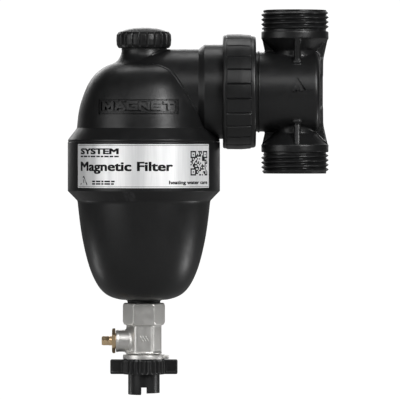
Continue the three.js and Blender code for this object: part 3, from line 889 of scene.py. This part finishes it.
def word_row(left, right, z, height):
    """A row of short dashes that stands for a line of small print."""
    bars = []
    for width in cycle((1.9, 2.7, 1.2, 3.1, 2.1, 1.5, 2.4)):
        if left + 0.6 >= right:
            return bars
        width = min(width, right - left)
        bars.append(printed(left, left + width, z, z + height))
        left += width + 0.55


def caution_sign(along, low, size):
    """A small triangle outline with a stroke inside."""
    bars = [wrapped_box(along - 0.22, along + 0.22, low + 0.9, low + 2.7, INK_IN, INK_OUT)]
    half = size * 0.58
    corners = [(-half, 0), (half, 0), (0, size)]
    for (x0, z0), (x1, z1) in zip(corners, corners[1:] + corners[:1]):
        length = hypot(x1 - x0, z1 - z0)
        nx, nz = -(z1 - z0) / length * 0.28, (x1 - x0) / length * 0.28
        outline = [(x0 + nx, z0 + nz), (x0 - nx, z0 - nz), (x1 - nx, z1 - nz), (x1 + nx, z1 + nz)]
        bars.append(wrapped([(along + x, low + z) for x, z in outline], INK_IN, INK_OUT))
    return bars


def check_block(left, low, size):
    """A square of small blocks, from a fixed random draw: a pattern that encodes nothing."""
    draw = np.random.default_rng(7)
    count = 17
    cell = size / count
    bars = []
    for row in range(count):
        run = None
        for column in range(count + 1):
            down, across = min(row, 16 - row), min(column, 16 - column)
            if column == count:
                dark = False
            elif down < 5 and across < 5 and not (row < 5 and column > 11):  # a corner mark
                dark = down in (0, 4) or across in (0, 4) or down == across == 2
            else:
                dark = draw.random() < 0.48
            if dark and run is None:
                run = column
            if not dark and run is not None:
                bars.append(printed(left + run * cell, left + column * cell,
                                    low + row * cell, low + (row + 1) * cell))
                run = None
    return bars


def heading(words, left, low, height, width, weight):
    """Generic words bent round the belt, printed several times a little apart for weight."""
    def place(across, rise, out):
        return bent(INK_OUT if out else INK_IN, across / INK_OUT, rise)

    copies = []
    for right, up in ((0, 0), (1, 0), (2, 0), (0, 1), (1, 1), (2, 1)):
        flat = flat_words(words, left + right * weight, low + up * weight,
                          height - weight, width - 2 * weight)
        copies.append(raised_words(flat, place))
    return copies


def inner_parts():
    """Down-pipe, baffle, sleeve and seals inside the canister."""
    pipe = revolved([(0, -62), (13.5, -62, 0.6), (13.5, 6, 1), (11, 8, 0.5), (0, 8)])
    pipe = join(on_axis(pipe), along_x(disc(8.9, -61.1, -50.5)))
    pipe = cut(pipe, on_axis(disc(11.7, -63, 4.5)), along_x(disc(7.5, AXIS, -50)),
               on_axis(disc(7.6, 0, 20)))
    finished(pipe, "down_pipe", WHITE, "canister", "separator_tube")
    baffle = ring_of(13.8, 15.4, -40, -26, 0.3)
    for i in range(8):
        blade = moved(turned(bevelled(block(21.6, 0, 0, 14.4, 1.4, 12), 0.3), 35, "X"), z=-33)
        blade = keep(turned(blade, i * 45, "Z"), ring_of(14, 29.6, -40, -26, 0))
        baffle = join(baffle, blade)
    finished(on_axis(baffle), "baffle_ring", WHITE, "canister", "swirl_baffle")
    sleeve = revolved([
        (0, SLEEVE_LOW.z), (7.3, SLEEVE_LOW.z, 1.4), (7.3, 10.1, 0.3), (8.5, 10.1, 0.2), (8.5, 11.6, 0.2),
        (6.4, 11.6, 0.3), (6.4, SLEEVE_LOW.z + 1, 1), (0, SLEEVE_LOW.z + 1),
    ])
    finished(on_axis(sleeve), "sleeve_tube", STEEL, "canister", "magnet_sleeve")
    rings = [
        ("body_seal", 33.9, 36, -26.1, -24.85, 0.5, "canister", ROUND),
        ("sleeve_o_ring", 6.8, 8.4, 11.9, 12.3, 0.15, "canister", SMALL_ROUND),
        ("drain_stub_seal", 7.1, 8, -103.3, -103.2, 0.04, "canister", SMALL_ROUND),
        ("top_cap_seal", 8.7, 11, 20.5, 21.1, 0.25, "cap_seal", ROUND),
        ("drain_cap_washer", 2.5, 8.3, -137.4, -136.7, 0.2, "drain_washer", SMALL_ROUND),
    ]
    for node, inside, outside, low, high, fillet, body, segments in rings:
        ring = on_axis(ring_of(inside, outside, low, high, fillet, segments))
        finished(ring, node + "_ring", RUBBER, body, node)
    seal = along_x(ring_of(7.5, 9, -50.2, -49, 0.4))
    finished(seal, "inner_pipe_ring", RUBBER, "canister", "inner_pipe_seal")


# ---- magnets and top cap ----

def magnet_stack():
    for node in sorted(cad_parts):
        if not node.startswith(("magnet_", "pole_disc_")) or not node[-1].isdigit():
            continue
        low, high = box(node)
        look = MAGNETIC if node.startswith("magnet_") else STEEL
        piece = on_axis(ring_of(2.1, high.x - AXIS, low.z, high.z, 0.35))
        finished(piece, node + "_ring", look, "magnet_stack", node)
    low, high = box("magnet_rod")
    rod = revolved([
        (0, low.z), (1.8, low.z, 0.4), (1.8, 17), (2.6, 17, 0.2), (2.6, high.z, 0.3), (0, high.z),
    ], 48)
    finished(on_axis(rod), "stack_rod", STEEL, "magnet_stack", "magnet_rod")
    low, high = box("magnet_rod_nut")
    nut = keep(hexagon(4, low.z, high.z), revolved([
        (0, low.z), (3.5, low.z), (4, low.z + 0.4), (4, high.z - 0.4), (3.5, high.z), (0, high.z),
    ]))
    nut = cut(nut, disc(2.1, -120, 0))
    finished(on_axis(nut), "stack_nut", STEEL, "magnet_stack", "magnet_rod_nut")


def top_cap():
    low, high, top = 21.4, 29.5, CAP_HIGH.z
    flutes = 22

    def shape(angles, r, z):
        if r < 12.2 or not low + 0.4 < z < high - 0.3:
            return np.full(len(angles), r)
        ease = max(0.0, min(1.0, (z - low - 0.4) / 0.9, (high - 0.3 - z) / 0.9))
        share = (angles * flutes / TAU + 0.5) % 1 - 0.5
        groove = np.clip(1 - np.abs(share) / 0.17, 0, 1) ** 0.8
        return r - 0.6 * ease * groove

    knob = revolved([
        (0, low), (12.4, low, 0.7), (13.3, low + 1.5, 1.2), (13.5, 25.4, 6), (13.35, high - 1.5, 1.2),
        (12.2, high, 0.9), (10.9, high, 0.12), (10.6, high + 0.25, 0.2), (9, high + 0.9),
        (7, high + 1.38), (4.5, high + 1.72), (2.2, top - 0.04), (0, top),
    ], 22 * 24, spacing=0.3, shape=shape)
    plug = threaded(7.2, 8.3, 3.0, CAP_LOW.z, low + 0.4, 96, 0.4)
    socket = revolved([(0, 0), (2.1, 0), (2.1, 16.7), (2.9, 16.7), (2.9, 18.7), (0, 18.7)], 48)
    finished(on_axis(cut(join(knob, plug), socket)), "top_cap_knob", NYLON, "cap", "top_cap", angle=50)


# ---- drain cock ----

SPINDLE = -122.0
HEX_TOP, HEX_LOW, COCK_END = -103.4, -114.2, -128.3


def on_spindle(piece):
    return moved(piece, AXIS, 0, SPINDLE)


def cock_body():
    field = Field((-15, -11, -129.2), (11.5, 11, -95.2), 0.2)
    x, y, z = field.x, field.y, field.z
    radial = np.sqrt(x * x + y * y)
    sides = [np.abs(x * sin(a) + y * cos(a)) for a in (0, TAU / 6, -TAU / 6)]
    across = np.maximum(np.maximum(sides[0], sides[1]), sides[2])
    middle, half = (HEX_TOP + HEX_LOW) / 2, (HEX_TOP - HEX_LOW) / 2
    head = blend_max(across - 9, np.abs(z - middle) - half, 0.4)
    for side, reach in ((1, 9.75), (-1, 9.55)):  # rounded corners above and below
        chamfer = radial * 0.87 + side * (z - middle) * 0.5 - (reach * 0.87 + half * 0.5)
        head = blend_max(head, chamfer, 0.3)
    lower_middle, lower_half = (HEX_LOW + COCK_END) / 2 + 0.5, (HEX_LOW - COCK_END) / 2 + 0.5
    lower = blend_max(across - 7.75, radial - 8.62, 0.4)
    lower = blend_max(lower, np.abs(z - lower_middle) - lower_half, 0.4)
    foot = blend_max(radial - 8.75, np.abs(z - (COCK_END + 0.5)) - 0.5, 0.25)
    stub = field_cylinder(radial, z - (HEX_TOP + 3.5), 6.8, 3.9, 0.5)
    boss_radial = np.sqrt(y * y + (z - SPINDLE) ** 2)
    boss = field_cylinder(boss_radial, x + 6.85, 5.4, 6.85, 0.4)
    collar = field_cylinder(boss_radial, x + 13.1, 5.55, 0.6, 0.15)
    body = np.minimum(head, stub)
    body = blend_min(body, lower, 0.5)
    body = blend_min(body, foot, 0.2)
    body = blend_min(body, boss, 1.6)
    body = np.minimum(body, collar)
    # raised casting mark on the front flat: three short strokes
    for i in range(3):
        u, w = x - 0.2 - 1.3 * (i - 1), z - (SPINDLE + 1.2)
        stroke = field_box(u * 0.86 + w * 0.5, y + 7.75, w * 0.86 - u * 0.5, (0.22, 0.07, 1.5), 0.06)
        body = blend_min(body, stroke, 0.1)
    field.d = body.astype(np.float32)
    cock = cut(field.mesh(), disc(3.6, -140, -90), disc(6.1, COCK_END - 1, SPINDLE + 7.4),
               moved(along_x(disc(2.6, -20, 0)), z=SPINDLE), moved(along_x(disc(4.2, -20, -10)), z=SPINDLE))
    finished(on_axis(cock), "cock_casting", NICKEL, "canister", "drain_cock_body")


def sphere(radius, steps):
    angles = [i * pi / steps for i in range(steps + 1)]
    return revolved([(radius * sin(a), -radius * cos(a)) for a in angles])


def tail_and_ball():
    low, high = box("drain_tail")
    tail = revolved([
        (0, -131), (7.4, -131), (7.4, -130.2), (9.3, -130.2, 0.4), (9.3, -128.6, 0.5), (5.8, -128.6),
        (5.8, high.z, 0.3), (0, high.z),
    ], ROUND)
    tail = join(tail, threaded(7.49, 8.33, 1.337, low.z, -130, 96, 0.3))
    tail = cut(tail, disc(3.6, -140, -120))
    finished(on_axis(tail), "tail_fitting", NICKEL, "canister", "drain_tail")
    for node, bottom, top in (("upper_ball_seat", -118.4, -114.9), ("lower_ball_seat", -127.3, -125.6)):
        seat = ring_of(3.7, 5.8, bottom, top, 0.15)
        hollow = moved(sphere(5.9, 32), z=SPINDLE)
        finished(on_axis(cut(seat, hollow)), node + "_ring", WHITE, "canister", node)
    ball = sphere(5.6, 40)
    ball = cut(ball, turned(disc(3.3, -10, 10), 90, "X"), block(-5.2, 0, 0, 2.4, 1.8, 14))
    finished(on_spindle(ball), "ball", NICKEL, "drain_valve", "drain_ball")


def spindle_and_gland():
    reach = box("drain_spindle")[0].x - AXIS
    shaft = along_x(disc(2.3, -17.2, -5.9, 48, 0.3))
    tip = bevelled(turned(block((reach - 15.9) / 2, 0, 0, -reach - 15.9, 3.28, 3.28), 45, "X"), 0.18)
    tang = block(-5.3, 0, 0, 1.4, 1.2, 4)
    # a slot across the end shows which way the bore points
    spindle = cut(join(shaft, tip, tang), block(reach, 0, 0, 0.8, 0.5, 6))
    finished(on_spindle(spindle), "spindle", BRASS, "drain_valve", "drain_spindle")
    nut = keep(hexagon(6.12, -15.6, -14), revolved([
        (0, -15.6), (5.5, -15.6), (6.15, -15.2), (6.15, -14.2), (5.9, -14), (0, -14),
    ]))
    nut = along_x(join(nut, disc(3.9, -14.5, -11.6)))
    nut = cut(nut, along_x(disc(2.6, -20, 0)))
    finished(on_spindle(nut), "gland", BRASS, "canister", "spindle_gland_nut")
    packing = along_x(ring_of(2.6, 3.9, -11.3, -10.3, 0.3))
    finished(on_spindle(packing), "gland_packing", RUBBER, "canister", "spindle_packing")


def retaining_ring():
    ring = ring_of(8.7, 10.3, -130.8, -130.5, 0.1, ROUND)
    ear = cut(bevelled(block(11, 0, -129.9, 2.6, 3.4, 1.8), 0.5), disc(9.7, -140, -120))
    ring = join(ring, ring_of(9.6, 10.3, -130.8, -128.8, 0.2, ROUND), ear)
    ring = cut(ring, moved(disc(0.5, -140, -120, 24), x=11.3))
    finished(on_axis(ring), "ring_with_ear", NICKEL, "canister", "cap_retaining_ring")


def drain_cap():
    low, high = -138.3, WHEEL_HIGH.z
    flutes = 27

    def shape(angles, r, z):
        if r < 10.2:
            return np.full(len(angles), r)
        ease = max(0.0, min(1.0, (z - low - 0.2) / 0.6))
        wave = np.abs(np.sin(angles * flutes / 2)) ** 1.3
        return r - 0.75 * ease * (1 - wave)

    hub = revolved([
        (0, low), (10.6, low, 0.5), (11, low + 0.8), (11, high - 0.4), (10.7, high), (0, high),
    ], 27 * 20, spacing=0.6, shape=shape)
    key = revolved([(0, WHEEL_LOW.z), (7.75, WHEEL_LOW.z, 0.35), (7.75, low + 0.8), (0, low + 0.8)], 120)
    # the key's slot, and its right-hand jaw, which is a little shorter
    key = cut(key, block(0, 0, WHEEL_LOW.z, 2.7, 40, 7.4), block(6.35, 0, WHEEL_LOW.z, 10, 40, 1.6))
    cap = cut(join(hub, wings(low, high), key), disc(8.7, low + 0.6, high + 1))
    finished(on_axis(cap), "drain_cap_wheel", NYLON, "drain_cap", "drain_cap", angle=40)


def wings(low, high):
    """Two flat wings with rounded outer corners and a sunken panel on each face."""
    field = Field((-17.4, -3.6, low - 1), (17.4, 3.6, high + 1), 0.22)
    x, y, z = field.x, field.y, field.z
    middle, half = (low + high) / 2, (high - low) / 2
    both = field_box(x, y, z - middle, (16.5, 2.5, half), 0.75)
    for side in (-1, 1):
        panel = field_box(np.abs(x) - 13.4, y - side * 2.9, z - middle, (2.3, 0.75, half - 1.2), 0.3)
        both = blend_max(both, -panel, 0.2)
    field.d = both.astype(np.float32)
    return field.mesh()


# ---- studio ----

def area_light(name, place, target, width, height, power):
    light = bpy.data.lights.new(name, "AREA")
    light.shape = "RECTANGLE"
    light.size, light.size_y = width, height
    light.energy = power
    aimed(in_scene(name, light), place, target).visible_camera = False


def aimed(holder, place, target):
    holder.location = place
    holder.rotation_euler = (Vector(target) - Vector(place)).to_track_quat("-Z", "Y").to_euler()
    return holder


def studio():
    """White surroundings, brighter behind the object than in front, and soft area lights."""
    scene = bpy.context.scene
    scene.view_settings.view_transform = "Standard"
    world = bpy.data.worlds.new("studio")
    scene.world = world
    world.use_nodes = True
    tree = world.node_tree
    glow = tree.nodes["Background"]
    split = tree.nodes.new("ShaderNodeSeparateXYZ")
    tree.links.new(tree.nodes.new("ShaderNodeTexCoord").outputs["Generated"], split.inputs[0])
    ramp = tree.nodes.new("ShaderNodeMapRange")
    ramp.interpolation_type = "SMOOTHSTEP"
    tree.links.new(split.outputs["Y"], ramp.inputs["Value"])
    for name, number in (("From Min", 0.6), ("From Max", 1.0), ("To Min", 0.03), ("To Max", 0.75)):
        ramp.inputs[name].default_value = number
    tree.links.new(ramp.outputs["Result"], glow.inputs["Strength"])
    glow.inputs["Color"].default_value = (1, 1, 1, 1)
    backdrop = tree.nodes.new("ShaderNodeBackground")
    backdrop.inputs["Color"].default_value = (1, 1, 1, 1)
    backdrop.inputs["Strength"].default_value = 1.05
    seen = tree.nodes.new("ShaderNodeLightPath").outputs["Is Camera Ray"]
    mix = tree.nodes.new("ShaderNodeMixShader")
    tree.links.new(seen, mix.inputs[0])
    tree.links.new(glow.outputs[0], mix.inputs[1])
    tree.links.new(backdrop.outputs[0], mix.inputs[2])
    tree.links.new(mix.outputs[0], tree.nodes["World Output"].inputs["Surface"])
    middle = (AXIS * SCALE, 0, -0.03)
    low_middle = (AXIS * SCALE, 0, -0.08)
    for name, place, target, width, height, power in (
        ("key_softbox", (0.42, -0.62, 0.36), middle, 0.24, 0.5, 6.5),
        ("front_softbox", (-0.05, -0.95, 0.62), middle, 1.1, 0.3, 3.0),
        ("left_softbox", (-0.85, -0.6, 0.15), middle, 0.6, 0.7, 3.6),
        ("top_softbox", (-0.1, 0.36, 0.85), middle, 0.7, 0.35, 2.5),
        ("right_card", (0.2, 0.03, -0.185), low_middle, 0.06, 0.06, 0.13),
        ("left_card", (-0.345, 0.12, -0.185), (AXIS * SCALE, 0, -0.11), 0.06, 0.06, 0.05),
        ("back_softbox", (-0.2, 1.0, 0.35), middle, 0.9, 0.3, 2),
    ):
        area_light(name, place, target, width, height, power)


def floor():
    size = 6.0
    mesh = bpy.data.meshes.new("floor")
    level = CAD_BOX[0][2] - 0.12
    corners = ((-size, -size), (size, -size), (size, size * 3), (-size, size * 3))
    mesh.from_pydata([(x, y, level) for x, y in corners], [], [(0, 1, 2, 3)])
    material = bpy.data.materials.new("pale_floor")
    material.use_nodes = True
    tree = material.node_tree
    shader = tree.nodes["Principled BSDF"]
    shader.inputs["Base Color"].default_value = (0.3, 0.3, 0.3, 1)
    shader.inputs["Roughness"].default_value = 0.9
    shader.inputs["Emission Color"].default_value = (1, 1, 1, 1)
    strength = tree.nodes.new("ShaderNodeMapRange")
    tree.links.new(tree.nodes.new("ShaderNodeLightPath").outputs["Is Camera Ray"], strength.inputs["Value"])
    strength.inputs["To Min"].default_value = 0.05
    strength.inputs["To Max"].default_value = 1.0
    tree.links.new(strength.outputs["Result"], shader.inputs["Emission Strength"])
    mesh.materials.append(material)
    in_scene("floor", mesh)


def camera():
    """A long lens square to the front, a little above the middle of the object."""
    distance, width = 2.2, 0.196  # metres to the object, and metres across the picture
    view = bpy.data.cameras.new("camera")
    view.sensor_width = 36
    view.lens = view.sensor_width / 2 / (width / 2 / distance)
    view.clip_end = 30
    holder = aimed(in_scene("camera", view), (-0.0465, -distance, -0.0235), (-0.0465, 0, -0.053))
    bpy.context.scene.camera = holder


# ---- the object ----

camera()
studio()
floor()
tee_body()
flow_diverter()
union_nut()
union_small_parts()
upper_body()
lower_body()
label()
inner_parts()
magnet_stack()
top_cap()
cock_body()
tail_and_ball()
spindle_and_gland()
retaining_ring()
drain_cap()
